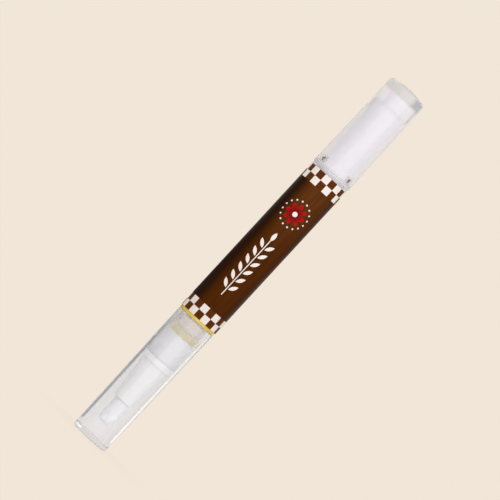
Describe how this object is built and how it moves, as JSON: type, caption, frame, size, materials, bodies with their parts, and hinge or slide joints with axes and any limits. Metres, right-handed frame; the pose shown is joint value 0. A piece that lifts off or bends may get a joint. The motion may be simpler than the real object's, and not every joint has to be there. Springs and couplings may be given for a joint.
{
  "type": "twist-up nail oil pen",
  "caption": "Slim twist-up pen for nail oil with a clear cap over a guarded brush, a printed barrel that holds the oil, and a clear turning knob that drives a piston.",
  "frame": {"origin": "centre of the cap's flat closed end, which the capped pen stands on", "axes": "+Z runs along the pen's axis from the cap to the turning knob; X and Y are square to it, and -Y is the side that faces the picture's camera"},
  "size_m": [0.0132, 0.0132, 0.1335],
  "materials": {
    "clear_shell": "polished clear styrene acrylic, moulded",
    "clear_guard": "thin translucent moulding, satin",
    "clear_barrel": "polished clear moulding round the oil",
    "bristle": "fine nylon filaments",
    "white_gloss": "white moulding, glossy",
    "white_satin": "white moulding, satin",
    "milky_plug": "translucent milky polyethylene",
    "feed_plastic": "extruded tube, natural",
    "label_print": "printed film, semi-gloss, brown with cream squares at both ends",
    "oil_fluid": "clear yellow oil",
    "seal_rubber": "soft grey elastomer, matte",
    "grey_acetal": "acetal moulding, satin"
  },
  "bodies": {
    "body": {"barrel": "clear_barrel", "label": "label_print", "oil": "oil_fluid", "neck_plug": "milky_plug", "nozzle": "white_gloss", "ferrule": "white_satin", "feed_tube": "feed_plastic", "bristles": "bristle", "thread_nut": "grey_acetal", "ratchet_ring": "grey_acetal"},
    "cap_body": {"cap": "clear_shell"},
    "guard_body": {"brush_guard": "clear_guard"},
    "knob_body": {"knob_shell": "clear_shell", "drive_sleeve": "white_gloss", "click_spring": "grey_acetal"},
    "piston_body": {"piston": "white_satin", "piston_seal": "seal_rubber"},
    "rod_body": {"screw_rod": "white_satin"}
  },
  "joints": [
    {"name": "cap_pull", "type": "slide", "parent": "body", "child": "cap_body", "axis": [0, 0, -1], "range_m": [0, 0.06]},
    {"name": "guard_pull", "type": "slide", "parent": "body", "child": "guard_body", "axis": [0, 0, -1], "range_m": [0, 0.0042]},
    {"name": "knob_turn", "type": "hinge", "parent": "body", "child": "knob_body", "pos_m": [0, 0, 0.11], "axis": [0, 0, -1], "range_deg": [0, 3600], "deforming": ["click_spring"]},
    {"name": "piston_slide", "type": "slide", "parent": "body", "child": "piston_body", "axis": [0, 0, -1], "range_m": [0, 0.03302], "deforming": ["oil"]},
    {"name": "rod_slide", "type": "slide", "parent": "knob_body", "child": "rod_body", "axis": [0, 0, -1], "range_m": [0, 0.03302]}
  ],
  "couplings": [
    {"joint": "piston_slide", "follows": "knob_turn", "m_per_rad": 0.00052521},
    {"joint": "rod_slide", "follows": "knob_turn", "m_per_rad": 0.00052521}
  ]
}
